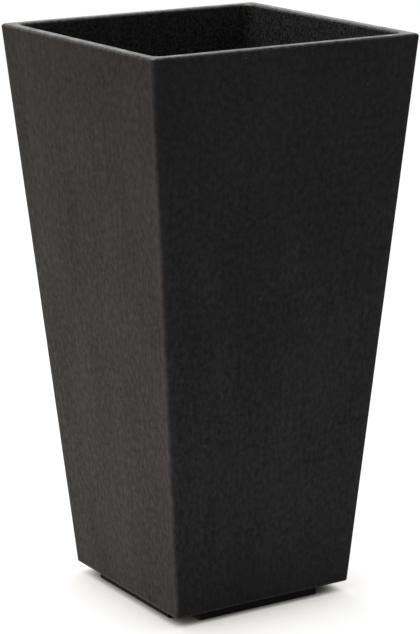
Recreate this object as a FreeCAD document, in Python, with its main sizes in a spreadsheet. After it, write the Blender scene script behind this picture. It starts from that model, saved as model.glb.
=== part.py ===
import FreeCAD, Part
import os
import Sketcher

# A tall square tapered planter in moulded charcoal composite. The shell stands on four foot bars that are
# screwed under its floor, stoppers close its two drain holes, and a loose shelf sits where the taper holds
# it. Millimetres, +Z up, with the origin on the ground under the middle of the pot and the front at -Y.

# The sizes that drive the model, a name and a value for each
SIZES = (
    # The shell
    ("top_width", 400),
    ("base_width", 272),
    ("shell_height", 750),
    ("wall_thickness", 17),
    ("floor_thickness", 18),
    ("arris_radius", 5),
    ("inside_corner_radius", 14),
    ("inside_floor_chamfer", 8),
    ("rim_outer_radius", 4),
    ("rim_inner_radius", 4),
    ("base_edge_chamfer", 2),
    # The foot bars
    ("foot_height", 15),
    ("foot_depth", 26),
    ("foot_inset", 13),
    ("foot_gap", 5),
    ("foot_edge_chamfer", 1.5),
    # The screws and washers that hold the bars
    ("screw_end_distance", 32),
    ("screw_diameter", 4.8),
    ("screw_grip", 13),
    ("screw_head_flats", 8),
    ("screw_head_height", 3.6),
    ("screw_head_sink", 3.4),
    ("screw_clearance", 0.2),
    ("washer_diameter", 13),
    ("washer_thickness", 1.2),
    # The drain holes and their stoppers
    ("drain_spacing", 120),
    ("drain_diameter", 22),
    ("plug_clearance", 0.3),
    ("plug_flange_diameter", 36),
    ("plug_flange_thickness", 5),
    ("plug_stem_length", 16),
    ("plug_lead_in", 3),
    ("plug_tab_width", 24),
    ("plug_tab_height", 26),
    ("plug_tab_thickness", 6),
    ("plug_tab_border", 5),
    # The loose shelf
    ("shelf_rise", 300),
    ("shelf_thickness", 12),
    ("shelf_clearance", 0.3),
    ("shelf_corner_radius", 18),
    ("shelf_slot_length", 34),
    ("shelf_slot_width", 8),
    ("shelf_slot_spacing_x", 46),
    ("shelf_slot_spacing_y", 28),
    ("finger_slot_length", 64),
    ("finger_slot_width", 22),
    ("finger_slot_chamfer", 6),
    ("finger_slot_margin", 15),
    # Every cut starts outside the face that it opens, by this much
    ("cut_overrun", 5),
)

SIDE_COUNT = 4
SLOT_COLUMN_COUNT = 4
SLOT_ROW_COUNT = 8

doc = FreeCAD.newDocument("flower_pot")
sheet = doc.addObject("Spreadsheet::Sheet", "sizes")
for row, (alias, number) in enumerate(SIZES, start=1):
    sheet.set(f"A{row}", alias)
    sheet.set(f"B{row}", str(number))
    sheet.setAlias(f"B{row}", alias)
doc.recompute()

# Levels and half widths that several pieces share, as expressions on the sheet
RIM_LEVEL = "(sizes.foot_height + sizes.shell_height)"
FLOOR_LEVEL = "(sizes.foot_height + sizes.floor_thickness)"
SHELF_LEVEL = f"({FLOOR_LEVEL} + sizes.shelf_rise)"
FLARE = "((sizes.top_width - sizes.base_width) / (2 * sizes.shell_height))"
FOOT_LINE = "(sizes.base_width / 2 - sizes.foot_inset - sizes.foot_depth / 2)"
FOOT_END = "(sizes.base_width / 2 - sizes.foot_inset - sizes.foot_depth - sizes.foot_gap)"
SCREW_PLACE = f"({FOOT_END} - sizes.screw_end_distance)"
SCREW_HOLE = "(sizes.screw_diameter + 2 * sizes.screw_clearance)"
SEAT_LEVEL = "(sizes.screw_head_sink + sizes.screw_head_height + sizes.washer_thickness)"


def outside_half(level):
    """Half the shell's outside width at a level."""
    return f"(sizes.base_width / 2 + ({level} - sizes.foot_height) * {FLARE})"


def inside_half(level):
    """Half the shell's inside width at a level."""
    return f"({outside_half(level)} - sizes.wall_thickness)"


def shelf_half(level):
    """Half the shelf's width at a level."""
    return f"({inside_half(level)} - sizes.shelf_clearance)"


def value(expression):
    """The number that an expression on the sheet gives."""
    return float(sheet.evalExpression(expression))


def new_body(label):
    """An empty body, whose label names its file."""
    body = doc.addObject("PartDesign::Body", label)
    body.Label = label
    return body


def datum(body, role):
    """One of a body's own origin planes or axes."""
    return next(item for item in body.Origin.OriginFeatures if item.Role == role)


def sketch_on(body, name, role, offset=None):
    """A sketch on an origin plane, moved along the plane's normal by an expression."""
    sketch = body.newObject("Sketcher::SketchObject", name)
    sketch.AttachmentSupport = [(datum(body, role), "")]
    sketch.MapMode = "FlatFace"
    if offset:
        sketch.setExpression("AttachmentOffset.Base.z", offset)
    return sketch


def pin(sketch, geometry, vertex, x, y):
    """Ties a point of a sketch to the sketch's origin with two expressions."""
    for kind, expression in (("DistanceX", x), ("DistanceY", y)):
        constraint = Sketcher.Constraint(kind, -1, 1, geometry, vertex, value(expression))
        index = sketch.addConstraint(constraint)
        sketch.setExpression(f"Constraints[{index}]", expression)


def outline(sketch, corners):
    """A closed outline of straight sides through corners, each a pair of expressions."""
    first = sketch.GeometryCount
    points = [FreeCAD.Vector(value(x), value(y), 0) for x, y in corners]
    for start, end in zip(points, points[1:] + points[:1]):
        sketch.addGeometry(Part.LineSegment(start, end))
    for index, (x, y) in enumerate(corners):
        following = (index + 1) % len(corners)
        sketch.addConstraint(Sketcher.Constraint("Coincident", first + index, 2, first + following, 1))
        pin(sketch, first + index, 1, x, y)


def rectangle(sketch, half_x, half_y, x="0", y="0"):
    """A rectangle about a centre, from its half sides."""
    outline(sketch, (
        (f"{x} - ({half_x})", f"{y} - ({half_y})"),
        (f"{x} + ({half_x})", f"{y} - ({half_y})"),
        (f"{x} + ({half_x})", f"{y} + ({half_y})"),
        (f"{x} - ({half_x})", f"{y} + ({half_y})"),
    ))


def hexagon(sketch, flats, x, y):
    """A hexagon about a centre, from the distance across its flats."""
    half = f"{flats} / 2"
    low = f"{half} * tan(30 deg)"
    high = f"{half} / cos(30 deg)"
    outline(sketch, (
        (f"{x} + {half}", f"{y} - {low}"),
        (f"{x} + {half}", f"{y} + {low}"),
        (x, f"{y} + {high}"),
        (f"{x} - {half}", f"{y} + {low}"),
        (f"{x} - {half}", f"{y} - {low}"),
        (x, f"{y} - {high}"),
    ))


def circle(sketch, diameter, x="0", y="0"):
    """A circle of a diameter about a centre."""
    centre = FreeCAD.Vector(value(x), value(y), 0)
    radius = value(diameter) / 2
    index = sketch.addGeometry(Part.Circle(centre, FreeCAD.Vector(0, 0, 1), radius))
    pin(sketch, index, 3, x, y)
    constraint = sketch.addConstraint(Sketcher.Constraint("Diameter", index, 2 * radius))
    sketch.setExpression(f"Constraints[{constraint}]", diameter)


def frustum(body, kind, name, low, high, half):
    """A square block or cut between two levels, whose half width follows a rule."""
    feature = body.newObject(f"PartDesign::{kind}Wedge", name)
    feature.AttachmentSupport = [(datum(body, "XZ_Plane"), "")]
    feature.MapMode = "FlatFace"
    feature.setExpression("Ymin", low)
    feature.setExpression("Ymax", high)
    for axis in ("X", "Z"):
        for end, height in (("", low), ("2", high)):
            feature.setExpression(f"{axis}{end}min", f"-{half(height)}")
            feature.setExpression(f"{axis}{end}max", half(height))
    doc.recompute()
    return feature


def pad(body, name, sketch, length, side="One side"):
    """A pad of a sketch, along its normal or to both sides of its plane."""
    feature = body.newObject("PartDesign::Pad", name)
    feature.Profile = sketch
    feature.SideType = side
    feature.setExpression("Length", length)
    doc.recompute()
    return feature


def pocket(body, name, sketch, length, reverse=False):
    """A pocket from a sketch, against its normal unless reversed. One that cuts nothing stops the build."""
    doc.recompute()
    before = body.Shape.Volume
    feature = body.newObject("PartDesign::Pocket", name)
    feature.Profile = sketch
    feature.Reversed = reverse
    feature.setExpression("Length", length)
    doc.recompute()
    if not feature.Shape.Volume < before:
        raise ValueError(f"{name} cuts nothing")
    return feature


def revolution(body, name, sketch):
    """A solid turned once round the upright axis of its sketch."""
    feature = body.newObject("PartDesign::Revolution", name)
    feature.Profile = sketch
    feature.ReferenceAxis = (sketch, ["V_Axis"])
    feature.Angle = 360
    doc.recompute()
    return feature


def soften(body, name, kind, feature, wanted, amount):
    """A fillet or a chamfer on the edges of a feature that pass a test."""
    names = [f"Edge{index}" for index, edge in enumerate(feature.Shape.Edges, start=1) if wanted(edge)]
    softened = body.newObject(f"PartDesign::{kind}", name)
    softened.Base = (feature, names)
    softened.setExpression("Radius" if kind == "Fillet" else "Size", amount)
    doc.recompute()
    return softened


def upright(edge, height):
    """Whether an edge climbs through most of a height."""
    return edge.BoundBox.ZLength > value(height) / 2


def level(edge, height):
    """Whether an edge lies flat at a level."""
    slack = FreeCAD.Base.Precision.approximation()
    return all(abs(vertex.Z - value(height)) < slack for vertex in edge.Vertexes)


def reach(edge):
    """How far an edge stands from the middle of the pot, along X or Y, whichever is more."""
    box = edge.BoundBox
    return max(abs(box.XMin), abs(box.XMax), abs(box.YMin), abs(box.YMax))


def spread(body, name, *features):
    """Repeats features about the pot's middle: a pair on each of the four sides."""
    mirror = body.newObject("PartDesign::Mirrored", f"{name}_pair")
    mirror.MirrorPlane = (datum(body, "YZ_Plane"), [""])
    turn = body.newObject("PartDesign::PolarPattern", f"{name}_turn")
    turn.Axis = (datum(body, "Z_Axis"), [""])
    turn.Angle = 360
    turn.Occurrences = SIDE_COUNT
    every = body.newObject("PartDesign::MultiTransform", name)
    every.Originals = list(features)
    every.Transformations = [mirror, turn]
    body.Tip = every
    doc.recompute()
    return every


def make_pot_shell():
    """The moulded shell: tapered walls with a plain rim, and a floor with its drain and screw holes."""
    body = new_body("pot_shell")
    block = frustum(body, "Additive", "shell_block", "sizes.foot_height", RIM_LEVEL, outside_half)

    def tall(edge):
        return upright(edge, "sizes.shell_height")

    arrises = soften(body, "arrises", "Fillet", block, tall, "sizes.arris_radius")

    mouth_level = f"({RIM_LEVEL} + sizes.cut_overrun)"
    cavity = frustum(body, "Subtractive", "cavity", FLOOR_LEVEL, mouth_level, inside_half)
    middle_of_rim = value("(sizes.top_width - sizes.wall_thickness) / 2")

    def inner(edge):
        return reach(edge) < middle_of_rim

    corners = soften(body, "inside_corners", "Fillet", cavity,
                     lambda edge: tall(edge) and inner(edge), "sizes.inside_corner_radius")
    cove = soften(body, "floor_cove", "Chamfer", corners,
                  lambda edge: level(edge, FLOOR_LEVEL), "sizes.inside_floor_chamfer")
    outer_rim = soften(body, "rim_outside", "Fillet", cove,
                       lambda edge: level(edge, RIM_LEVEL) and not inner(edge), "sizes.rim_outer_radius")
    inner_rim = soften(body, "rim_inside", "Fillet", outer_rim,
                       lambda edge: level(edge, RIM_LEVEL) and inner(edge), "sizes.rim_inner_radius")
    soften(body, "base_edge", "Chamfer", inner_rim,
           lambda edge: level(edge, "sizes.foot_height"), "sizes.base_edge_chamfer")

    drains = sketch_on(body, "drain_plan", "XY_Plane", f"{FLOOR_LEVEL} + sizes.cut_overrun")
    for x in ("-1", "1"):
        circle(drains, "sizes.drain_diameter", f"{x} * sizes.drain_spacing / 2")
    pocket(body, "drain_holes", drains, "sizes.floor_thickness + 2 * sizes.cut_overrun")

    pilot = sketch_on(body, "pilot_plan", "XY_Plane", "sizes.foot_height - sizes.cut_overrun")
    circle(pilot, SCREW_HOLE, SCREW_PLACE, f"-{FOOT_LINE}")
    pilot_depth = "sizes.cut_overrun + sizes.screw_grip + sizes.screw_clearance"
    spread(body, "pilot_holes", pocket(body, "pilot_hole", pilot, pilot_depth, reverse=True))
    return body


def make_foot_bar(label, turn):
    """A rubber bar under one side of the floor: an extruded section cut to length, with stepped holes."""
    body = new_body(label)
    near = f"-{FOOT_LINE} - sizes.foot_depth / 2"
    far = f"-{FOOT_LINE} + sizes.foot_depth / 2"
    section = sketch_on(body, f"{label}_section", "YZ_Plane")
    outline(section, (
        (f"{near} + sizes.foot_edge_chamfer", "0"),
        (f"{far} - sizes.foot_edge_chamfer", "0"),
        (far, "sizes.foot_edge_chamfer"),
        (far, "sizes.foot_height"),
        (near, "sizes.foot_height"),
        (near, "sizes.foot_edge_chamfer"),
    ))
    pad(body, f"{label}_bar", section, f"2 * {FOOT_END}", side="Symmetric")
    bores = (
        ("seat", "sizes.washer_diameter + 2 * sizes.screw_clearance", SEAT_LEVEL),
        ("hole", SCREW_HOLE, "sizes.foot_height + sizes.cut_overrun"),
    )
    for name, diameter, depth in bores:
        sketch = sketch_on(body, f"{label}_{name}_plan", "XY_Plane", "-sizes.cut_overrun")
        for x in ("-1", "1"):
            circle(sketch, diameter, f"{x} * {SCREW_PLACE}", f"-{FOOT_LINE}")
        pocket(body, f"{label}_{name}", sketch, f"sizes.cut_overrun + {depth}", reverse=True)
    body.Placement.Rotation = FreeCAD.Rotation(FreeCAD.Vector(0, 0, 1), turn)
    return body


def make_foot_screws():
    """Self-tapping screws with blunt ends: hexagon heads sunk in the bars, and shanks up into the floor."""
    body = new_body("foot_screws")
    under_head = "(sizes.screw_head_sink + sizes.screw_head_height)"
    plan = sketch_on(body, "head_plan", "XY_Plane", "sizes.screw_head_sink")
    hexagon(plan, "sizes.screw_head_flats", SCREW_PLACE, f"-{FOOT_LINE}")
    head = pad(body, "screw_head", plan, "sizes.screw_head_height")
    section = sketch_on(body, "shank_section", "XY_Plane", under_head)
    circle(section, "sizes.screw_diameter", SCREW_PLACE, f"-{FOOT_LINE}")
    shank = pad(body, "screw_shank", section, f"sizes.foot_height + sizes.screw_grip - {under_head}")
    spread(body, "screws", head, shank)
    return body


def make_foot_washers():
    """Flat washers between the screw heads and the bars."""
    body = new_body("foot_washers")
    plan = sketch_on(body, "washer_plan", "XY_Plane", "sizes.screw_head_sink + sizes.screw_head_height")
    for diameter in ("sizes.washer_diameter", SCREW_HOLE):
        circle(plan, diameter, SCREW_PLACE, f"-{FOOT_LINE}")
    spread(body, "washers", pad(body, "washer", plan, "sizes.washer_thickness"))
    return body


def make_drain_plug(label, side):
    """A rubber stopper: a stem in the drain hole, a flange on the floor and a holed tab to pull it by."""
    body = new_body(label)
    stem = "(sizes.drain_diameter / 2 - sizes.plug_clearance)"
    flange = "sizes.plug_flange_diameter / 2"
    half = sketch_on(body, f"{label}_half", "XZ_Plane")
    outline(half, (
        ("0", "-sizes.plug_stem_length"),
        (f"{stem} - sizes.plug_lead_in / 2", "-sizes.plug_stem_length"),
        (stem, "sizes.plug_lead_in - sizes.plug_stem_length"),
        (stem, "0"),
        (flange, "0"),
        (flange, "sizes.plug_flange_thickness"),
        ("0", "sizes.plug_flange_thickness"),
    ))
    revolution(body, f"{label}_stopper", half)

    # The tab starts inside the flange, and its frame is as wide as the border all round the opening
    edge = "sizes.plug_tab_width / 2"
    root = "(sizes.plug_flange_thickness / 2)"
    foot = "sizes.plug_flange_thickness"
    top = f"({foot} + sizes.plug_tab_height)"
    tab = sketch_on(body, f"{label}_tab_side", "XZ_Plane")
    outline(tab, (
        (f"-{edge}", root),
        (edge, root),
        (edge, f"{top} - sizes.plug_tab_border"),
        (f"{edge} - sizes.plug_tab_border", top),
        (f"sizes.plug_tab_border - {edge}", top),
        (f"-{edge}", f"{top} - sizes.plug_tab_border"),
    ))
    rectangle(tab, f"{edge} - sizes.plug_tab_border", f"({top} - {foot}) / 2 - sizes.plug_tab_border",
              y=f"({top} + {foot}) / 2")
    pad(body, f"{label}_tab", tab, "sizes.plug_tab_thickness", side="Symmetric")

    body.setExpression(".Placement.Base.x", f"{side} * sizes.drain_spacing / 2")
    body.setExpression(".Placement.Base.z", FLOOR_LEVEL)
    return body


def make_soil_shelf():
    """The loose shelf: a plate whose edges lie on the tapered walls, with drain slots and finger slots."""
    body = new_body("soil_shelf")
    top = f"({SHELF_LEVEL} + sizes.shelf_thickness)"
    plate = frustum(body, "Additive", "shelf_plate", SHELF_LEVEL, top, shelf_half)

    def upright_in_plate(edge):
        return upright(edge, "sizes.shelf_thickness")

    soften(body, "shelf_corners", "Fillet", plate, upright_in_plate, "sizes.shelf_corner_radius")

    above = f"{top} + sizes.cut_overrun"
    through = "sizes.shelf_thickness + 2 * sizes.cut_overrun"
    finger_line = f"({shelf_half(SHELF_LEVEL)} - sizes.finger_slot_margin - sizes.finger_slot_width / 2)"
    fingers = sketch_on(body, "finger_plan", "XY_Plane", above)
    for x in ("-1", "1"):
        rectangle(fingers, "sizes.finger_slot_width / 2", "sizes.finger_slot_length / 2",
                  x=f"{x} * {finger_line}")
    finger_slots = pocket(body, "finger_slots", fingers, through)
    slot_reach = value(f"{shelf_half(SHELF_LEVEL)} - sizes.finger_slot_margin / 2")
    soften(body, "finger_slot_ends", "Chamfer", finger_slots,
           lambda edge: upright_in_plate(edge) and reach(edge) < slot_reach, "sizes.finger_slot_chamfer")

    spans = {
        "X": f"{SLOT_COLUMN_COUNT - 1} * sizes.shelf_slot_spacing_x",
        "Y": f"{SLOT_ROW_COUNT - 1} * sizes.shelf_slot_spacing_y",
    }
    plan = sketch_on(body, "drain_slot_plan", "XY_Plane", above)
    rectangle(plan, "sizes.shelf_slot_length / 2", "sizes.shelf_slot_width / 2",
              x=f"-{spans['X']} / 2", y=f"-{spans['Y']} / 2")
    first = pocket(body, "drain_slot", plan, through)
    rows = []
    for axis, count in (("X", SLOT_COLUMN_COUNT), ("Y", SLOT_ROW_COUNT)):
        row = body.newObject("PartDesign::LinearPattern", f"slots_along_{axis.lower()}")
        row.Direction = (datum(body, f"{axis}_Axis"), [""])
        row.setExpression("Length", spans[axis])
        row.Occurrences = count
        rows.append(row)
    grid = body.newObject("PartDesign::MultiTransform", "drain_slots")
    grid.Originals = [first]
    grid.Transformations = rows
    body.Tip = grid
    doc.recompute()
    return body


pieces = [make_pot_shell()]
for name, turn in (("front", 0), ("right", 90), ("back", 180), ("left", 270)):
    pieces.append(make_foot_bar(f"foot_bar_{name}", turn))
pieces.append(make_foot_screws())
pieces.append(make_foot_washers())
for name, side in (("left", -1), ("right", 1)):
    pieces.append(make_drain_plug(f"drain_plug_{name}", side))
pieces.append(make_soil_shelf())
doc.recompute()

for item in doc.Objects:
    if {"Invalid", "Error"} & set(item.State):
        raise ValueError(f"{item.Label} did not recompute: {item.State}")
for piece in pieces:
    if piece.Shape.isNull() or not piece.Shape.isValid():
        raise ValueError(f"{piece.Label} has no valid shape")

os.makedirs("parts", exist_ok=True)
for piece in pieces:
    piece.Shape.exportStep(f"parts/{piece.Label}.step")
    box = piece.Shape.BoundBox
    print(f"{piece.Label}: {len(piece.Shape.Solids)} solids, "
          f"x {box.XMin:.1f} to {box.XMax:.1f}, y {box.YMin:.1f} to {box.YMax:.1f}, "
          f"z {box.ZMin:.1f} to {box.ZMax:.1f}")
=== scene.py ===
import math

import bmesh
import bpy
from mathutils import Matrix, Vector


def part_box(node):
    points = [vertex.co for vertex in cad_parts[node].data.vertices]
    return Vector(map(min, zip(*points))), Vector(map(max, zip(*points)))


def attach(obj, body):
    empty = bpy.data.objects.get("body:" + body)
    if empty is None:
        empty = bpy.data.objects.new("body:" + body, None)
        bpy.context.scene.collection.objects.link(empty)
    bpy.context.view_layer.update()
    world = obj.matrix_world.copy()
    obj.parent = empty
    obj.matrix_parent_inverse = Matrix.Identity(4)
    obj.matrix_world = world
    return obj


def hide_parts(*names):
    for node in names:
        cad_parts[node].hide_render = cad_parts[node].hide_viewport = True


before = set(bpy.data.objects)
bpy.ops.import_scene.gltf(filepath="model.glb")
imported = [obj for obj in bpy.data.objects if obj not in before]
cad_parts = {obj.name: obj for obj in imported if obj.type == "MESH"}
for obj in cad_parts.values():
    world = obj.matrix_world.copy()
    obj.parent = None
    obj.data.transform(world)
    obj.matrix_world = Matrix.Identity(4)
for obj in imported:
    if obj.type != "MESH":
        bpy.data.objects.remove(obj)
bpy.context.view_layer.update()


# The shell: one thick moulding of dark recycled rubber composite, with four tapered walls, a flat rim and
# a floor with two drain holes. It leaves its mould with soft edges, faint upright flow streaks and a rim
# that isn't quite even.
shell_low, shell_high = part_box("pot_shell")
UNDERSIDE = shell_low.z
RIM_LEVEL = shell_high.z
BASE_HALF = 0.136
RIM_HALF = 0.200
WALL = 0.017
FLOOR = 0.018
TAPER = (RIM_HALF - BASE_HALF) / (RIM_LEVEL - UNDERSIDE)
ARRIS_RADIUS = 0.005
INNER_CORNER_RADIUS = 0.014
FOOT_ROUNDING = 0.0022
RIM_ROUNDING = 0.004
COVE_ROUNDING = 0.010


def add_step(tree, kind, inputs=None, **settings):
    """One node of a tree, with its settings and what goes into it, by name or number."""
    step = tree.nodes.new(kind)
    for name, value in settings.items():
        setattr(step, name, value)
    for name, value in (inputs or {}).items():
        if isinstance(value, bpy.types.NodeSocket):
            tree.links.new(value, step.inputs[name])
        else:
            step.inputs[name].default_value = value
    return step


def reckon(tree, operation, *values):
    """A sum on numbers or fields."""
    return add_step(tree, "ShaderNodeMath", dict(enumerate(values)), operation=operation).outputs[0]


def reckon_vector(tree, operation, *values):
    """A sum on vectors."""
    return add_step(tree, "ShaderNodeVectorMath", dict(enumerate(values)), operation=operation).outputs[0]


def vector(tree, x=0.0, y=0.0, z=0.0):
    """A vector from three numbers or fields."""
    return add_step(tree, "ShaderNodeCombineXYZ", {0: x, 1: y, 2: z}).outputs[0]


def parted(tree, value):
    """The three numbers of a vector."""
    return add_step(tree, "ShaderNodeSeparateXYZ", {0: value}).outputs


def noise(tree, place, scale, detail=2.0, roughness=0.5, stretch=(1.0, 1.0, 1.0)):
    """A noise value from 0 to 1. A stretch below 1 draws its grain out along that axis."""
    drawn = reckon_vector(tree, "MULTIPLY", place, stretch)
    grain = {"Vector": drawn, "Scale": scale, "Detail": detail, "Roughness": roughness}
    return add_step(tree, "ShaderNodeTexNoise", grain).outputs[0]


def blended(tree, *parts):
    """A tone about 0.5, from noises and how much each counts."""
    tone = 0.5
    for value, weight in parts:
        tone = reckon(tree, "MULTIPLY_ADD", reckon(tree, "SUBTRACT", value, 0.5), weight, tone)
    return tone


def between(tree, value, start, end):
    """0 up to start and 1 from end on, with a soft step. The start may lie above the end."""
    return add_step(tree, "ShaderNodeMapRange", {"Value": value, "From Min": start, "From Max": end},
                    interpolation_type="SMOOTHSTEP").outputs[0]


def shades(tree, tone, stops):
    """The colour at a tone, between stops of tone and colour."""
    ramp = add_step(tree, "ShaderNodeValToRGB", {"Fac": tone})
    while len(ramp.color_ramp.elements) < len(stops):
        ramp.color_ramp.elements.new(0.5)
    for element, (at, colour) in zip(ramp.color_ramp.elements, stops):
        element.position = at
        element.color = (*colour, 1.0)
    return ramp.outputs["Color"]


def mixed(tree, share, first, second):
    """The first colour, turning into the second as the share rises. The node's colours go by number."""
    return add_step(tree, "ShaderNodeMix", {"Factor": share, 6: first, 7: second},
                    data_type="RGBA").outputs[2]


def new_finish(name):
    """An empty material, with its tree, its surface shader and the place on the piece."""
    material = bpy.data.materials.new(name)
    material.use_nodes = True
    tree = material.node_tree
    place = add_step(tree, "ShaderNodeTexCoord").outputs["Object"]
    return material, tree, tree.nodes["Principled BSDF"], place


def surface(tree, shader, colour, roughness, grain, bump_strength, bump_depth):
    """The colour, the roughness and a bump from the grain, led to the surface shader."""
    bump = add_step(tree, "ShaderNodeBump", {
        "Strength": bump_strength, "Distance": bump_depth, "Height": grain}).outputs[0]
    for name, value in (("Base Color", colour), ("Roughness", roughness), ("Normal", bump)):
        tree.links.new(value, shader.inputs[name])


shell_finish, tree, shader, place = new_finish("shell_composite")
x, y, z = parted(tree, place)
# The walls stood upright, so that a streak runs straight up each of them
half_here = reckon(tree, "MULTIPLY_ADD", z, TAPER, BASE_HALF - UNDERSIDE * TAPER)
upright = reckon(tree, "DIVIDE", RIM_HALF, half_here)
wall_x = reckon(tree, "MULTIPLY", x, upright)
wall_y = reckon(tree, "MULTIPLY", y, upright)
wall_place = vector(tree, wall_x, wall_y, z)
streaks = noise(tree, wall_place, 130.0, detail=1.0, stretch=(1.0, 1.0, 0.12))
mottle = noise(tree, wall_place, 125.0, stretch=(1.0, 1.0, 0.85))
pores = noise(tree, wall_place, 480.0, roughness=0.6, stretch=(1.0, 1.0, 0.50))
drags = noise(tree, wall_place, 45.0, stretch=(1.0, 1.0, 0.08))
patches = noise(tree, wall_place, 12.0, stretch=(1.0, 1.0, 0.50))
crumb = noise(tree, wall_place, 240.0, detail=3.0, roughness=0.70)

# How far in from the outside a change of the surface begins, and how far in it is full
CRUMB_DEPTH = (0.004, 0.012)
ARRIS_BAND = (0.014, 0.003)
RIM_BAND = (0.0045, 0.0012)
FOOT_BAND = (0.0040, 0.0018)
# The pale colour of the specks, also used for the painted highlight on the rim and foot edge
PALE_SPECK_AND_HIGHLIGHT = (0.150, 0.146, 0.142, 1.0)
# The inner walls are rougher, and the rubber crumb shows in them
from_middle = [reckon(tree, "ABSOLUTE", axis) for axis in (wall_x, wall_y)]
inside = between(tree, reckon(tree, "MAXIMUM", *from_middle), *(RIM_HALF - depth for depth in CRUMB_DEPTH))
tone = blended(tree, (streaks, 0.30), (mottle, 1.40), (pores, 0.95), (drags, 0.14), (patches, 0.55),
               (crumb, reckon(tree, "MULTIPLY", inside, 4.8)))
colour = shades(tree, tone, (
    (0.0, (0.0080, 0.0078, 0.0077)),
    (0.5, (0.0400, 0.0390, 0.0385)),
    (1.0, (0.0780, 0.0761, 0.0752)),
))
# A pale grain here and there. The rim is paler, partly from rubbed wear and partly as a painted highlight;
# the foot edge is paler as a painted highlight of light from the floor, and the upright corners are a little
# paler too
cells = add_step(tree, "ShaderNodeTexVoronoi", {"Vector": wall_place, "Scale": 32.0}).outputs
lot = add_step(tree, "ShaderNodeSeparateColor", {0: cells["Color"]}).outputs[0]
chosen = reckon(tree, "GREATER_THAN", lot, reckon(tree, "MULTIPLY_ADD", inside, -0.10, 0.70))
specks = reckon(tree, "MULTIPLY", between(tree, cells["Distance"], 0.060, 0.020), chosen)
on_rim = between(tree, z, *(RIM_LEVEL - depth for depth in RIM_BAND))
at_foot = between(tree, z, *(UNDERSIDE + depth for depth in FOOT_BAND))
on_arris = between(tree, reckon(tree, "MINIMUM", *from_middle), *(RIM_HALF - depth for depth in ARRIS_BAND))
# Painted highlight along the rim and foot edge, patchy with the mottle; on the rim it is partly wear too
wear_and_painted_highlight = reckon(tree, "MULTIPLY", reckon(tree, "MAXIMUM", on_rim, at_foot), between(tree, mottle, 0.10, 0.85))
pale = reckon(tree, "MAXIMUM", specks, reckon(tree, "MULTIPLY", wear_and_painted_highlight, 0.85))
pale = reckon(tree, "MAXIMUM", pale, reckon(tree, "MULTIPLY", on_arris, 0.12))
colour = mixed(tree, pale, colour, PALE_SPECK_AND_HIGHLIGHT)
# The rim is polished in places by hands
worn = noise(tree, place, 55.0, detail=3.0, roughness=0.6)
polish = reckon(tree, "MULTIPLY", on_rim, reckon(tree, "MULTIPLY_ADD", worn, 0.7, 0.12))
matt = reckon(tree, "SUBTRACT", reckon(tree, "MULTIPLY_ADD", mottle, 0.20, 0.645), polish)
grain = reckon(tree, "MULTIPLY_ADD", mottle, 0.8, pores)
surface(tree, shader, colour, matt, grain, bump_strength=0.8, bump_depth=0.0002)
shader.inputs["Specular IOR Level"].default_value = 0.12


def new_tree(name, sizes):
    """An empty geometry tree with a named input for each size. Gives the tree and its inputs."""
    tree = bpy.data.node_groups.new(name, "GeometryNodeTree")
    tree.interface.new_socket("Geometry", in_out="INPUT", socket_type="NodeSocketGeometry")
    tree.interface.new_socket("Geometry", in_out="OUTPUT", socket_type="NodeSocketGeometry")
    for label, value in sizes.items():
        kind = "NodeSocketInt" if isinstance(value, int) else "NodeSocketFloat"
        tree.interface.new_socket(label, in_out="INPUT", socket_type=kind)
    return tree, tree.nodes.new("NodeGroupInput").outputs


def made_real(tree, geometry):
    """Instances turned into geometry of their own."""
    return add_step(tree, "GeometryNodeRealizeInstances", {"Geometry": geometry}).outputs[0]


def close_tree(tree, geometry, finish):
    """The end of a tree: real faces in one finish."""
    dressed = add_step(tree, "GeometryNodeSetMaterial", {
        "Geometry": made_real(tree, geometry), "Material": finish}).outputs[0]
    tree.links.new(dressed, tree.nodes.new("NodeGroupOutput").inputs[0])


def repeated(tree, points, shape, turn=None):
    """The shape set on each point, turned where a turn is given."""
    inputs = {"Points": points, "Instance": shape}
    if turn is not None:
        inputs["Rotation"] = turn
    return add_step(tree, "GeometryNodeInstanceOnPoints", inputs).outputs[0]


def two_points(tree, apart, y=0.0):
    """Two points that lie so far apart along X, either side of the middle."""
    first = vector(tree, reckon(tree, "MULTIPLY", apart, -0.5), y)
    return add_step(tree, "GeometryNodeMeshLine", {
        "Count": 2, "Start Location": first, "Offset": vector(tree, apart)}).outputs[0]


def scaled(tree, arrow, factor):
    """A vector times a number."""
    return add_step(tree, "ShaderNodeVectorMath", {0: arrow, "Scale": factor}, operation="SCALE").outputs[0]


def kept_value(tree, name):
    """A value that the points of the section carry."""
    return add_step(tree, "GeometryNodeInputNamedAttribute", {"Name": name}).outputs["Attribute"]


def flat_normals(piece):
    """Wide flat faces stay flat up to the soft edges beside them."""
    for face in piece.data.polygons:
        face.use_smooth = True
    weighted = piece.modifiers.new("flat_faces", "WEIGHTED_NORMAL")
    weighted.keep_sharp = True


def made_solid(piece):
    """The piece's modifiers worked into a plain mesh."""
    graph = bpy.context.evaluated_depsgraph_get()
    mesh = bpy.data.meshes.new_from_object(piece.evaluated_get(graph), depsgraph=graph)
    piece.modifiers.clear()
    piece.data = mesh
    return piece


def new_object(name, data):
    """An object at the origin, put into the scene."""
    thing = bpy.data.objects.new(name, data)
    bpy.context.scene.collection.objects.link(thing)
    return thing


def grown(name, start, tree, sizes):
    """The piece that a tree makes from a start mesh and its sizes."""
    piece = new_object(name, start)
    modifier = piece.modifiers.new("make", "NODES")
    modifier.node_group = tree
    for socket in tree.interface.items_tree:
        if socket.name in sizes:
            modifier[socket.identifier] = sizes[socket.name]
    return made_solid(piece)


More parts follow.
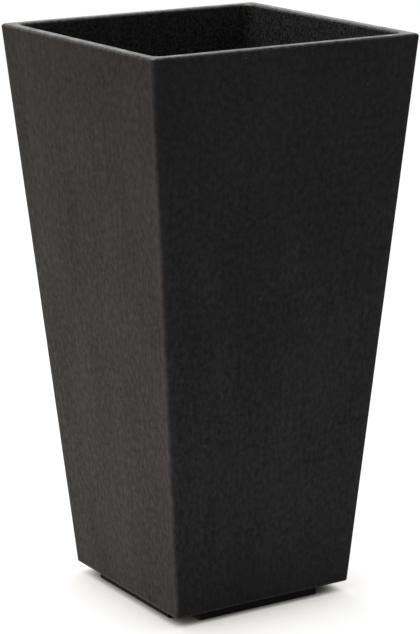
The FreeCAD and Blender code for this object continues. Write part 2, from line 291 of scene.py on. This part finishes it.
# Half of the shell's upright section, from the middle of the underside round the rim to the middle of the
# floor: half width, level, rounding of that corner, and corner radius in plan
section = (
    (0.0, UNDERSIDE, 0.0, ARRIS_RADIUS),
    (BASE_HALF, UNDERSIDE, FOOT_ROUNDING, ARRIS_RADIUS),
    (RIM_HALF, RIM_LEVEL, RIM_ROUNDING, ARRIS_RADIUS),
    (RIM_HALF - WALL, RIM_LEVEL, RIM_ROUNDING, INNER_CORNER_RADIUS),
    (BASE_HALF + FLOOR * TAPER - WALL, UNDERSIDE + FLOOR, COVE_ROUNDING, INNER_CORNER_RADIUS),
    (0.0, UNDERSIDE + FLOOR, 0.0, INNER_CORNER_RADIUS),
)
section_mesh = bpy.data.meshes.new("shell_section")
section_mesh.from_pydata([(half, 0.0, level) for half, level, _, _ in section],
                         [(i, i + 1) for i in range(len(section) - 1)], [])
for label, column in (("rounding", 2), ("plan_radius", 3)):
    values = [row[column] for row in section]
    section_mesh.attributes.new(label, "FLOAT", "POINT").data.foreach_set("value", values)

shell_sizes = {
    "Rounding Steps": 6,
    "Longest Step": 0.020,
    "Arris Steps": 8,
    "Side Steps": 22,
    "Weld": 0.00002,
    "Unevenness": 0.0004,
    "Unevenness Grain": 26.0,
    "Drain Radius": 0.011,
    "Drain Spacing": 0.120,
    "Drain Depth": 0.060,
    "Drain Steps": 40,
}
tree, size = new_tree("tapered_shell", shell_sizes)
curve = add_step(tree, "GeometryNodeMeshToCurve", {"Mesh": size["Geometry"]}).outputs[0]
curve = add_step(tree, "GeometryNodeFilletCurve", {
    "Curve": curve, "Count": size["Rounding Steps"], "Radius": kept_value(tree, "rounding")},
    mode="POLY").outputs[0]
here = add_step(tree, "GeometryNodeInputPosition").outputs[0]
index = add_step(tree, "GeometryNodeInputIndex").outputs[0]
following = add_step(tree, "GeometryNodeFieldAtIndex", {
    "Index": reckon(tree, "ADD", index, 1.0), "Value": here}, data_type="FLOAT_VECTOR").outputs[0]
run = add_step(tree, "ShaderNodeVectorMath", {0: here, 1: following}, operation="DISTANCE").outputs["Value"]
cuts = reckon(tree, "FLOOR", reckon(tree, "DIVIDE", run, size["Longest Step"]))
curve = add_step(tree, "GeometryNodeSubdivideCurve", {"Curve": curve, "Cuts": cuts}).outputs[0]
levels = add_step(tree, "GeometryNodeAttributeDomainSize", {"Geometry": curve},
                  component="CURVE").outputs["Point Count"]

# Each point of the section goes once round the pot: an arc at each corner, then the straight run to the next
QUARTER_TURN = math.pi / 2
per_side = reckon(tree, "ADD", size["Arris Steps"], size["Side Steps"])
around = reckon(tree, "MULTIPLY_ADD", per_side, 4.0, 1.0)
sheet = add_step(tree, "GeometryNodeMeshGrid", {"Vertices X": around, "Vertices Y": levels}).outputs["Mesh"]
column = reckon(tree, "FLOOR", reckon(tree, "DIVIDE", index, levels))
row = reckon(tree, "SUBTRACT", index, reckon(tree, "MULTIPLY", column, levels))
corner = reckon(tree, "FLOOR", reckon(tree, "DIVIDE", column, per_side))
step = reckon(tree, "SUBTRACT", column, reckon(tree, "MULTIPLY", corner, per_side))
turned = reckon(tree, "MINIMUM", reckon(tree, "DIVIDE", step, size["Arris Steps"]), 1.0)
gone = reckon(tree, "DIVIDE", reckon(tree, "SUBTRACT", step, size["Arris Steps"]), size["Side Steps"])
gone = reckon(tree, "MAXIMUM", gone, 0.0)
facing = reckon(tree, "MULTIPLY", reckon(tree, "ADD", corner, turned), QUARTER_TURN)
outward = vector(tree, reckon(tree, "COSINE", facing), reckon(tree, "SINE", facing))
bearing = reckon(tree, "MULTIPLY_ADD", corner, QUARTER_TURN, QUARTER_TURN / 2)
corner_x = reckon(tree, "MULTIPLY", reckon(tree, "COSINE", bearing), math.sqrt(2))
corner_y = reckon(tree, "MULTIPLY", reckon(tree, "SINE", bearing), math.sqrt(2))
this_corner = vector(tree, corner_x, corner_y)
next_corner = vector(tree, reckon(tree, "MULTIPLY", corner_y, -1.0), corner_x)
to_next = reckon_vector(tree, "SUBTRACT", next_corner, this_corner)
corner_place = reckon_vector(tree, "MULTIPLY_ADD", to_next, gone, this_corner)

point = add_step(tree, "GeometryNodeSampleIndex", {"Geometry": curve, "Value": here, "Index": row},
                 data_type="FLOAT_VECTOR").outputs[0]
half, _, level = parted(tree, point)
radius = add_step(tree, "GeometryNodeSampleIndex", {
    "Geometry": curve, "Value": kept_value(tree, "plan_radius"), "Index": row}).outputs[0]
radius = reckon(tree, "MINIMUM", radius, half)
arc = scaled(tree, outward, radius)
middle = scaled(tree, corner_place, reckon(tree, "SUBTRACT", half, radius))
spot = reckon_vector(tree, "ADD", reckon_vector(tree, "ADD", arc, middle), vector(tree, z=level))
skin = add_step(tree, "GeometryNodeSetPosition", {"Geometry": sheet, "Position": spot}).outputs[0]
skin = add_step(tree, "GeometryNodeMergeByDistance", {"Geometry": skin, "Distance": size["Weld"]}).outputs[0]

# The rubber shrinks back a little from the mould, more in some places than in others
shrink = reckon(tree, "MULTIPLY", noise(tree, here, size["Unevenness Grain"]), size["Unevenness"])
normal = add_step(tree, "GeometryNodeInputNormal").outputs[0]
inward = scaled(tree, normal, reckon(tree, "MULTIPLY", shrink, -1.0))
skin = add_step(tree, "GeometryNodeSetPosition", {"Geometry": skin, "Offset": inward}).outputs[0]

# The drain holes
drill = add_step(tree, "GeometryNodeMeshCylinder", {
    "Vertices": size["Drain Steps"], "Radius": size["Drain Radius"],
    "Depth": size["Drain Depth"]}).outputs["Mesh"]
drills = made_real(tree, repeated(tree, two_points(tree, size["Drain Spacing"]), drill))
skin = add_step(tree, "GeometryNodeMeshBoolean", {"Mesh 1": skin, "Mesh 2": drills},
                solver="EXACT").outputs["Mesh"]
close_tree(tree, skin, shell_finish)

shell = grown("moulded_shell", section_mesh, tree, shell_sizes)
flat_normals(shell)
made_solid(shell)
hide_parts("pot_shell")
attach(shell, "pot")


# The foot bars: four lengths of black extruded rubber under the floor, set in from its edges and screwed on
# from below, so that the pot stands clear of wet ground.
BAR_EDGE = 0.0006


def soft_edged(piece, edge):
    """The piece with its sharp edges rounded."""
    bevel = piece.modifiers.new("soft_edges", "BEVEL")
    bevel.width = edge
    bevel.segments = 3
    bevel.limit_method = "ANGLE"
    bevel.angle_limit = math.radians(40.0)
    made_solid(piece)
    flat_normals(piece)
    return made_solid(piece)


def softened(name, node, edge, finish):
    """A copy of a CAD node in its finish, with its sharp edges rounded."""
    mesh = bpy.data.meshes.new(name)
    mesh.materials.append(finish)
    shape = bmesh.new()
    shape.from_mesh(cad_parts[node].data)
    bmesh.ops.remove_doubles(shape, verts=shape.verts, dist=1e-6)
    bmesh.ops.dissolve_limit(shape, angle_limit=math.radians(1.0), verts=shape.verts, edges=shape.edges)
    shape.to_mesh(mesh)
    shape.free()
    return soft_edged(new_object(name, mesh), edge)


foot_finish, tree, shader, place = new_finish("foot_rubber")
scuffs = noise(tree, place, 60.0, detail=4.0, roughness=0.65, stretch=(1.0, 1.0, 3.0))
grain = noise(tree, place, 900.0, roughness=0.6)
tone = reckon(tree, "MULTIPLY_ADD", grain, 0.4, reckon(tree, "MULTIPLY", scuffs, 0.6))
colour = shades(tree, tone, ((0.35, (0.004, 0.004, 0.004)), (0.70, (0.011, 0.0107, 0.0104))))
matt = reckon(tree, "MULTIPLY_ADD", scuffs, 0.3, 0.6)
surface(tree, shader, colour, matt, grain, bump_strength=0.5, bump_depth=0.0002)
shader.inputs["Specular IOR Level"].default_value = 0.12

for side in ("front", "right", "back", "left"):
    bar = softened(f"bar_{side}", f"foot_bar_{side}", BAR_EDGE, foot_finish)
    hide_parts(f"foot_bar_{side}")
    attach(bar, "pot")


# The screws: two stainless self-tapping screws through each foot bar into the floor, driven from below until
# their dished hex heads lie sunk in the bar.
SCREW_SPACING = 0.120
SCREW_LINE = 0.110
HEAD_ACROSS_FLATS = 0.008
HEAD_EASE = 0.00005
screw_low, screw_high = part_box("foot_screws")
washer_low, washer_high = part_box("foot_washers")


def steel_finish(name, dark, light):
    """Stainless steel with fine brush marks that lie level, and a little dirt."""
    material, tree, shader, place = new_finish(name)
    brushed = noise(tree, place, 700.0, roughness=0.6, stretch=(1.0, 1.0, 6.0))
    dirt = noise(tree, place, 120.0, detail=3.0, roughness=0.6)
    tone = blended(tree, (brushed, 0.6), (dirt, 0.9))
    colour = shades(tree, tone, ((0.2, dark), (0.8, light)))
    matt = reckon(tree, "MULTIPLY_ADD", tone, 0.25, 0.20)
    surface(tree, shader, colour, matt, brushed, bump_strength=0.3, bump_depth=0.0001)
    shader.inputs["Metallic"].default_value = 1.0
    return material


def screw_places(tree, size):
    """Two points along each side of the square, at the level of zero."""
    pair = two_points(tree, size["Spacing"], reckon(tree, "MULTIPLY", size["Line"], -1.0))
    sides = add_step(tree, "GeometryNodeMeshLine", {"Count": 4, "Offset": (0.0, 0.0, 0.0)}).outputs[0]
    index = add_step(tree, "GeometryNodeInputIndex").outputs[0]
    turn = vector(tree, z=reckon(tree, "MULTIPLY", index, QUARTER_TURN))
    return made_real(tree, repeated(tree, sides, pair, turn))


def raised(tree, geometry, level):
    """Geometry lifted to a level."""
    return add_step(tree, "GeometryNodeTransform", {
        "Geometry": geometry, "Translation": vector(tree, z=level)}).outputs[0]


def pushed(tree, mesh, chosen, distance):
    """The chosen faces of a mesh pushed out by a distance. Gives the mesh and those faces."""
    step = add_step(tree, "GeometryNodeExtrudeMesh", {
        "Mesh": mesh, "Selection": chosen, "Offset Scale": distance})
    return step.outputs["Mesh"], step.outputs["Top"]


def drawn_in(tree, mesh, chosen, share):
    """The mesh with its chosen faces brought down to a share of their size."""
    return add_step(tree, "GeometryNodeScaleElements", {
        "Geometry": mesh, "Selection": chosen, "Scale": share}).outputs[0]


def joined(tree, *parts):
    """Several geometries as one."""
    step = add_step(tree, "GeometryNodeJoinGeometry")
    for part in parts:
        tree.links.new(part, step.inputs[0])
    return step.outputs[0]


screw_sizes = {
    "Spacing": SCREW_SPACING,
    "Line": SCREW_LINE,
    "Head Face": screw_low.z,
    "Head Seat": washer_low.z,
    "Head Radius": HEAD_ACROSS_FLATS / math.sqrt(3.0) - HEAD_EASE,
    "Head Chamfer": 0.0005,
    "Face Share": 0.86,
    "Dish Share": 0.78,
    "Dish Floor Share": 0.70,
    "Dish Depth": 0.0007,
    "Core Radius": 0.0019,
    "Core Steps": 20,
    "Thread Depth": 0.00045,
    "Thread Pitch": 0.0018,
    "Thread Steps": 18,
    "Tip Length": 0.0025,
    "Tip Radius": 0.0009,
    "Tip": screw_high.z,
    "Seed": 7,
}
tree, size = new_tree("foot_screw", screw_sizes)
head_height = reckon(tree, "SUBTRACT", size["Head Seat"], size["Head Face"])
flats_height = reckon(tree, "SUBTRACT", head_height, size["Head Chamfer"])
flats = add_step(tree, "GeometryNodeMeshCylinder", {
    "Vertices": 6, "Radius": size["Head Radius"], "Depth": flats_height}).outputs
head, face = pushed(tree, flats["Mesh"], flats["Bottom"], size["Head Chamfer"])
head = drawn_in(tree, head, face, size["Face Share"])
head, mouth = pushed(tree, head, face, 0.0)
head = drawn_in(tree, head, mouth, size["Dish Share"])
head, dish = pushed(tree, head, mouth, reckon(tree, "MULTIPLY", size["Dish Depth"], -1.0))
head = drawn_in(tree, head, dish, size["Dish Floor Share"])
head = raised(tree, head, reckon(tree, "MULTIPLY_ADD", flats_height, -0.5, size["Head Seat"]))
shank_end = reckon(tree, "SUBTRACT", size["Tip"], size["Tip Length"])
shank_length = reckon(tree, "SUBTRACT", shank_end, size["Head Seat"])
core = add_step(tree, "GeometryNodeMeshCylinder", {
    "Vertices": size["Core Steps"], "Radius": size["Core Radius"], "Depth": shank_length}).outputs["Mesh"]
core = raised(tree, core, reckon(tree, "MULTIPLY_ADD", shank_length, 0.5, size["Head Seat"]))
tip = add_step(tree, "GeometryNodeMeshCone", {
    "Vertices": size["Core Steps"], "Radius Bottom": size["Core Radius"], "Radius Top": size["Tip Radius"],
    "Depth": size["Tip Length"]}).outputs["Mesh"]
tip = raised(tree, tip, shank_end)
turns = reckon(tree, "DIVIDE", shank_length, size["Thread Pitch"])
helix = add_step(tree, "GeometryNodeCurveSpiral", {
    "Resolution": size["Thread Steps"], "Rotations": turns, "Height": shank_length,
    "Start Radius": size["Core Radius"], "End Radius": size["Core Radius"]}).outputs[0]
ridge = add_step(tree, "GeometryNodeCurvePrimitiveCircle", {
    "Resolution": 3, "Radius": size["Thread Depth"]}).outputs["Curve"]
thread = add_step(tree, "GeometryNodeCurveToMesh", {
    "Curve": helix, "Profile Curve": ridge, "Fill Caps": True}).outputs[0]
screw = joined(tree, head, core, tip, raised(tree, thread, size["Head Seat"]))
# Each head stops at a turn of its own
spin = add_step(tree, "FunctionNodeRandomValue", {"Max": math.pi / 3, "Seed": size["Seed"]},
                data_type="FLOAT")
spin = vector(tree, z=next(socket for socket in spin.outputs if socket.enabled))
screws = repeated(tree, screw_places(tree, size), screw, spin)
close_tree(tree, screws, steel_finish("screw_steel", (0.40, 0.40, 0.41), (0.68, 0.68, 0.69)))
screws = grown("hex_screws", bpy.data.meshes.new("screw_start"), tree, screw_sizes)
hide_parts("foot_screws")
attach(screws, "pot")


# The washers: one flat stainless washer under each screw head, stamped with slightly rounded edges, so that
# the head doesn't pull through the soft rubber.
washer_sizes = {
    "Spacing": SCREW_SPACING,
    "Line": SCREW_LINE,
    "Level": (washer_low.z + washer_high.z) / 2,
    "Outer Radius": 0.0065,
    "Hole Radius": 0.0026,
    "Thickness": washer_high.z - washer_low.z,
    "Edge Radius": 0.0002,
    "Edge Steps": 3,
    "Ring Steps": 48,
}


def rounded_outline(tree, width, length, radius, steps):
    """A rectangle with rounded corners."""
    outline = add_step(tree, "GeometryNodeCurvePrimitiveQuadrilateral", {
        "Width": width, "Height": length}).outputs[0]
    return add_step(tree, "GeometryNodeFilletCurve", {
        "Curve": outline, "Count": steps, "Radius": radius}, mode="POLY").outputs[0]


tree, size = new_tree("foot_washer", washer_sizes)
width = reckon(tree, "SUBTRACT", size["Outer Radius"], size["Hole Radius"])
middle_radius = reckon(tree, "MULTIPLY_ADD", width, 0.5, size["Hole Radius"])
ring = add_step(tree, "GeometryNodeCurvePrimitiveCircle", {
    "Resolution": size["Ring Steps"], "Radius": middle_radius}).outputs["Curve"]
stamped = rounded_outline(tree, width, size["Thickness"], size["Edge Radius"], size["Edge Steps"])
washer = add_step(tree, "GeometryNodeCurveToMesh", {"Curve": ring, "Profile Curve": stamped}).outputs[0]
washers = repeated(tree, screw_places(tree, size), raised(tree, washer, size["Level"]))
close_tree(tree, washers, steel_finish("washer_steel", (0.45, 0.45, 0.46), (0.72, 0.72, 0.73)))
washers = grown("flat_washers", bpy.data.meshes.new("washer_start"), tree, washer_sizes)
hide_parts("foot_washers")
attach(washers, "pot")


# The stoppers: two moulded black rubber plugs that push into the drain holes from inside, each with a flange
# that seals on the floor and a holed tab to pull it out by.
STOPPER_EDGE = 0.0008
plug_finish, tree, shader, place = new_finish("plug_rubber")
bloom = noise(tree, place, 90.0, detail=4.0, roughness=0.6)
grain = noise(tree, place, 1400.0, roughness=0.6)
tone = blended(tree, (bloom, 0.9), (grain, 0.5))
colour = shades(tree, tone, ((0.2, (0.018, 0.018, 0.019)), (0.8, (0.042, 0.042, 0.044))))
matt = reckon(tree, "MULTIPLY_ADD", tone, 0.3, 0.40)
surface(tree, shader, colour, matt, grain, bump_strength=0.4, bump_depth=0.0001)
shader.inputs["Specular IOR Level"].default_value = 0.35

for side in ("left", "right"):
    stopper = softened(f"stopper_{side}", f"drain_plug_{side}", STOPPER_EDGE, plug_finish)
    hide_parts(f"drain_plug_{side}")
    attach(stopper, f"plug_{side}")


# The soil shelf: a loose moulded plastic plate that wedges in the taper of the walls at mid height, with rows
# of drain slots and two finger slots to lift it out by.
shelf_low, shelf_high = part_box("soil_shelf")
SHELF_THICKNESS = shelf_high.z - shelf_low.z
SHELF_HALF = shelf_high.x - SHELF_THICKNESS * TAPER
SHELF_EDGE = 0.0010
FINGER_WIDTH = 0.022
FINGER_MARGIN = 0.015
shelf_finish, tree, shader, place = new_finish("shelf_plastic")
flow = noise(tree, place, 30.0, detail=3.0, roughness=0.55, stretch=(1.0, 0.35, 1.0))
grain = noise(tree, place, 700.0, roughness=0.7)
dust = noise(tree, place, 16.0, detail=4.0, roughness=0.6)
tone = blended(tree, (flow, 0.5), (grain, 0.5), (dust, 0.6))
colour = shades(tree, tone, ((0.15, (0.019, 0.0195, 0.020)), (0.85, (0.052, 0.052, 0.051))))
matt = reckon(tree, "MULTIPLY_ADD", tone, 0.25, 0.42)
surface(tree, shader, colour, matt, grain, bump_strength=0.5, bump_depth=0.00015)
shader.inputs["Specular IOR Level"].default_value = 0.35

shelf_sizes = {
    "Level": shelf_low.z,
    "Thickness": SHELF_THICKNESS,
    "Width Below": 2 * SHELF_HALF,
    "Width Above": 2 * shelf_high.x,
    "Corner Radius": 0.018,
    "Corner Steps": 8,
    "Weld": 0.00001,
    "Slot Length": 0.034,
    "Slot Width": 0.008,
    "Slot Rounding": 0.003,
    "Slot Steps": 4,
    "Slot Columns": 4,
    "Slot Rows": 8,
    "Column Spacing": 0.046,
    "Row Spacing": 0.028,
    "Finger Slot Length": 0.064,
    "Finger Slot Width": FINGER_WIDTH,
    "Finger Slot Rounding": 0.006,
    "Finger Slot Steps": 5,
    "Finger Slot Spacing": 2 * (SHELF_HALF - FINGER_MARGIN - FINGER_WIDTH / 2),
}
tree, size = new_tree("slotted_plate", shelf_sizes)
edge = rounded_outline(tree, size["Width Below"], size["Width Below"],
                       size["Corner Radius"], size["Corner Steps"])
slot = rounded_outline(tree, size["Slot Length"], size["Slot Width"],
                       size["Slot Rounding"], size["Slot Steps"])
row_gaps = reckon(tree, "SUBTRACT", size["Slot Rows"], 1.0)
column_gaps = reckon(tree, "SUBTRACT", size["Slot Columns"], 1.0)
slot_places = add_step(tree, "GeometryNodeMeshGrid", {
    "Size X": reckon(tree, "MULTIPLY", column_gaps, size["Column Spacing"]),
    "Size Y": reckon(tree, "MULTIPLY", row_gaps, size["Row Spacing"]),
    "Vertices X": size["Slot Columns"], "Vertices Y": size["Slot Rows"]}).outputs["Mesh"]
slots = repeated(tree, slot_places, slot)
finger_slot = rounded_outline(tree, size["Finger Slot Width"], size["Finger Slot Length"],
                              size["Finger Slot Rounding"], size["Finger Slot Steps"])
finger_slots = repeated(tree, two_points(tree, size["Finger Slot Spacing"]), finger_slot)
outlines = made_real(tree, joined(tree, edge, slots, finger_slots))
underside = add_step(tree, "GeometryNodeFillCurve", {"Curve": outlines}, mode="NGONS").outputs[0]
upper = add_step(tree, "GeometryNodeExtrudeMesh", {
    "Mesh": underside, "Offset Scale": size["Thickness"], "Individual": False}).outputs["Mesh"]
lower = add_step(tree, "GeometryNodeFlipFaces", {"Mesh": underside}).outputs[0]
plate = add_step(tree, "GeometryNodeMergeByDistance", {
    "Geometry": joined(tree, upper, lower), "Distance": size["Weld"]}).outputs[0]
# The edge leans outward with the walls of the pot
here = add_step(tree, "GeometryNodeInputPosition").outputs[0]
x, y, z = parted(tree, here)
from_middle = reckon(tree, "MAXIMUM", reckon(tree, "ABSOLUTE", x), reckon(tree, "ABSOLUTE", y))
edge_start = reckon(tree, "SUBTRACT", size["Width Below"], size["Corner Radius"])
at_edge = reckon(tree, "GREATER_THAN", from_middle, reckon(tree, "MULTIPLY", edge_start, 0.5))
on_top = reckon(tree, "GREATER_THAN", z, reckon(tree, "MULTIPLY", size["Thickness"], 0.5))
lean = reckon(tree, "DIVIDE", size["Width Above"], size["Width Below"])
leaned = vector(tree, reckon(tree, "MULTIPLY", x, lean), reckon(tree, "MULTIPLY", y, lean), z)
plate = add_step(tree, "GeometryNodeSetPosition", {
    "Geometry": plate, "Selection": reckon(tree, "MULTIPLY", at_edge, on_top), "Position": leaned}).outputs[0]
close_tree(tree, raised(tree, plate, size["Level"]), shelf_finish)
shelf = grown("slotted_shelf", bpy.data.meshes.new("shelf_start"), tree, shelf_sizes)
soft_edged(shelf, SHELF_EDGE)
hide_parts("soil_shelf")
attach(shelf, "shelf")


# The stage: a pale glowing floor with the pot's soft shadow painted into its glow, white walls under a darker
# ceiling, and two soft lamps, one low to the left of the pot and one above and behind it.
FLOOR_REACH = 4.0
SHADOW_REACH = 0.12


def in_picture(tree):
    """1 for what is seen, straight on, in a gloss or through glass, and 0 for light on its way to the pot."""
    rays = add_step(tree, "ShaderNodeLightPath").outputs
    straight_or_gloss = reckon(tree, "MAXIMUM", rays["Is Camera Ray"], rays["Is Glossy Ray"])
    return reckon(tree, "MAXIMUM", straight_or_gloss, rays["Is Transmission Ray"])


# To the camera the floor glows white and falls into a warm painted shadow, taken from how much the pot hides
# it. To the pot it glows a little, a painted bounce light from a ring outside that shadow.
floor_finish, tree, shader, place = new_finish("floor_with_painted_shadow")
back_light = vector(tree, y=0.15, z=0.99)
hidden = add_step(tree, "ShaderNodeAmbientOcclusion", {"Distance": SHADOW_REACH, "Normal": back_light},
                  samples=16).outputs["AO"]
# Painted shadow: the floor's glow is darker where the pot closes in on it
painted_floor_shadow = shades(tree, hidden, (
    (0.05, (0.003, 0.003, 0.003)),
    (0.14, (0.045, 0.044, 0.042)),
    (0.20, (0.130, 0.127, 0.120)),
    (0.30, (0.380, 0.371, 0.350)),
    (0.40, (0.595, 0.582, 0.552)),
    (0.50, (0.730, 0.716, 0.684)),
    (0.65, (0.860, 0.850, 0.826)),
    (0.85, (0.952, 0.950, 0.945)),
    (1.00, (0.980, 0.980, 0.980)),
))
across, along, _ = parted(tree, reckon_vector(tree, "ABSOLUTE", place))
beside = reckon(tree, "MAXIMUM", across, along)
ring = reckon(tree, "MULTIPLY", between(tree, beside, 0.18, 0.38), between(tree, beside, 0.95, 0.50))
# Painted bounce light: the floor glows toward the pot from a ring around it
painted_bounce_glow = shades(tree, ring, ((0.0, (0.0, 0.0, 0.0)), (1.0, (0.50, 0.518, 0.550))))
tree.links.new(mixed(tree, in_picture(tree), painted_bounce_glow, painted_floor_shadow), shader.inputs["Emission Color"])
shader.inputs["Emission Strength"].default_value = 1.0
shader.inputs["Base Color"].default_value = (0.20, 0.20, 0.20, 1.0)
shader.inputs["Roughness"].default_value = 1.0
shader.inputs["Specular IOR Level"].default_value = 0.0
floor_corners = [(x * FLOOR_REACH, y * FLOOR_REACH, 0.0) for x, y in ((-1, -1), (1, -1), (1, 1), (-1, 1))]
floor_mesh = bpy.data.meshes.new("floor")
floor_mesh.from_pydata(floor_corners, [], [(0, 1, 2, 3)])
floor_mesh.materials.append(floor_finish)
new_object("floor", floor_mesh)

# To the camera the room is white. To the pot its walls are pale and its ceiling is dim.
world = bpy.data.worlds.new("white_studio")
world.use_nodes = True
tree = world.node_tree
background = tree.nodes["Background"]
background.inputs["Color"].default_value = (1.0, 1.0, 1.0, 1.0)
height = parted(tree, add_step(tree, "ShaderNodeTexCoord").outputs["Generated"])[2]
walls = reckon(tree, "MULTIPLY_ADD", between(tree, height, 0.30, 0.75), -0.60, 0.875)
strength = reckon(tree, "MULTIPLY_ADD", in_picture(tree), walls, 0.125)
tree.links.new(strength, background.inputs["Strength"])
bpy.context.scene.world = world


def add_lamp(name, place, aim, width, height, power, colour):
    """A soft lamp turned to a point."""
    lamp = bpy.data.lights.new(name, "AREA")
    lamp.shape = "RECTANGLE"
    lamp.size = width
    lamp.size_y = height
    lamp.energy = power
    lamp.color = colour
    holder = new_object(name, lamp)
    holder.location = place
    holder.rotation_euler = (Vector(aim) - Vector(place)).to_track_quat("-Z", "Y").to_euler()


add_lamp("left_lamp", place=(-1.15, 0.1, 0.16), aim=(0.0, 0.1, 0.16), width=1.1, height=0.28,
         power=7.45, colour=(1.0, 0.80, 0.695))
add_lamp("top_lamp", place=(0.1, 0.9, 2.9), aim=(0.0, 0.0, 0.3), width=1.6, height=1.6,
         power=70.0, colour=(1.0, 0.99, 0.98))

# The camera stands to the left of the front, above the rim, and looks down on the near corner
CAMERA_PLACE = (-1.7102, -2.7897, 1.2059)
YAW = math.radians(58.458)
PITCH = math.radians(14.240)
ROLL = math.radians(-0.4705)
LONG_SIDE = 634
FOCAL_PIXELS = 2511.7
camera = bpy.data.cameras.new("camera")
camera.sensor_width = 36.0
camera.lens = FOCAL_PIXELS * camera.sensor_width / LONG_SIDE
camera.clip_end = 50.0
holder = new_object("camera", camera)
ahead = Vector((math.cos(PITCH) * math.cos(YAW), math.cos(PITCH) * math.sin(YAW), -math.sin(PITCH)))
level_right = Vector((math.sin(YAW), -math.cos(YAW), 0.0))
level_up = level_right.cross(ahead)
right = level_right * math.cos(ROLL) + level_up * math.sin(ROLL)
up = level_up * math.cos(ROLL) - level_right * math.sin(ROLL)
turn = Matrix((right, up, -ahead)).transposed()
holder.matrix_world = Matrix.Translation(CAMERA_PLACE) @ turn.to_4x4()
bpy.context.scene.camera = holder

bpy.context.scene.view_settings.view_transform = "Standard"
